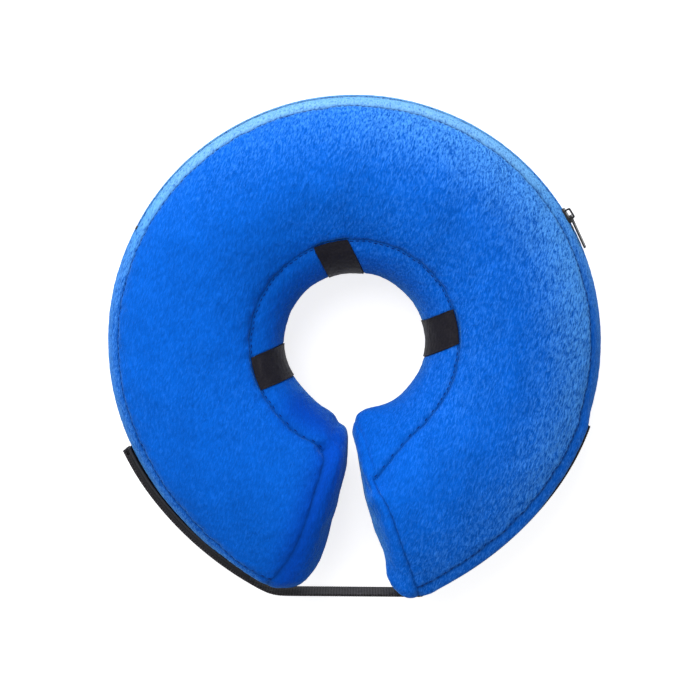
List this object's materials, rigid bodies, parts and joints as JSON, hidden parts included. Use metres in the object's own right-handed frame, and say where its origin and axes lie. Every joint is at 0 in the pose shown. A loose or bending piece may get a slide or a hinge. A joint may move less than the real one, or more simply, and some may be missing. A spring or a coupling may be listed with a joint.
{
  "type": "inflatable recovery collar",
  "caption": "Inflatable plush-covered protective ring for a pet's neck, open at one side, closed by a hook-and-loop strap",
  "frame": {"origin": "centre of the neck opening, on the plane the back panel rests on", "axes": "+Z is the axis of the neck opening and points out of the front panel; +Y points at the crown, away from the slit; +X points at the right arm, which carries the strap"},
  "size_m": [0.3, 0.305, 0.0801],
  "materials": {
    "plush_panel": "matte",
    "plush_gusset": "matte",
    "bladder_sheet": "gloss",
    "loop_webbing": "satin",
    "zipper_tape": "matte",
    "zipper_metal": "satin",
    "valve_plastic": "gloss",
    "strap_webbing": "matte",
    "hook_tape": "matte",
    "loop_tape": "matte"
  },
  "bodies": {
    "crown": {"front_panel_crown": "plush_panel", "back_panel_crown": "plush_panel", "neck_band_crown": "plush_gusset", "rim_front_crown": "plush_gusset", "rim_back_crown": "plush_gusset", "bladder_crown": "bladder_sheet", "zipper_half_front": "zipper_tape", "zipper_half_back": "zipper_tape", "zipper_stops": "zipper_metal", "neck_loop_top": "loop_webbing", "valve_base": "valve_plastic", "valve_stem": "valve_plastic"},
    "left_arm": {"front_panel_left": "plush_panel", "back_panel_left": "plush_panel", "neck_band_left": "plush_gusset", "rim_left": "plush_gusset", "end_wall_left": "plush_gusset", "bladder_left": "bladder_sheet", "neck_loop_left": "loop_webbing", "loop_patch": "loop_tape"},
    "right_arm": {"front_panel_right": "plush_panel", "back_panel_right": "plush_panel", "neck_band_right": "plush_gusset", "rim_right": "plush_gusset", "end_wall_right": "plush_gusset", "bladder_right": "bladder_sheet", "neck_loop_right": "loop_webbing", "strap_anchor": "strap_webbing"},
    "slider": {"zipper_slider": "zipper_metal"},
    "tab": {"pull_tab": "zipper_metal"},
    "plug": {"valve_plug": "valve_plastic"},
    "strap": {"strap_tail": "strap_webbing", "hook_patch": "hook_tape"}
  },
  "joints": [
    {"name": "right_arm_spread", "type": "hinge", "parent": "crown", "child": "right_arm", "pos_m": [0.14283, 0.05199, 0.04], "axis": [0, 0, 1], "range_deg": [0, 10]},
    {"name": "left_arm_spread", "type": "hinge", "parent": "crown", "child": "left_arm", "pos_m": [-0.14283, 0.05199, 0.04], "axis": [0, 0, 1], "range_deg": [-10, 0]},
    {"name": "strap_peel", "type": "hinge", "parent": "right_arm", "child": "strap", "pos_m": [0.04034, -0.15497, 0.04], "axis": [0, 0, 1], "range_deg": [0, 70]},
    {"name": "zipper_slide", "type": "hinge", "parent": "crown", "child": "slider", "pos_m": [0, 0, 0.04], "axis": [0, 0, 1], "range_deg": [0, 117]},
    {"name": "pull_tab_swing", "type": "hinge", "parent": "slider", "child": "tab", "pos_m": [0.12981, 0.0766, 0.0537], "axis": [-0.2315, -0.1391, 0.9629], "range_deg": [0, 150]},
    {"name": "valve_plug_pull", "type": "slide", "parent": "crown", "child": "plug", "axis": [0, 0.891, 0.454], "range_m": [0, 0.003]}
  ],
  "couplings": [
    {"joint": "left_arm_spread", "follows": "right_arm_spread", "ratio": -1},
    {"joint": "strap_peel", "follows": "right_arm_spread", "ratio": 7}
  ]
}
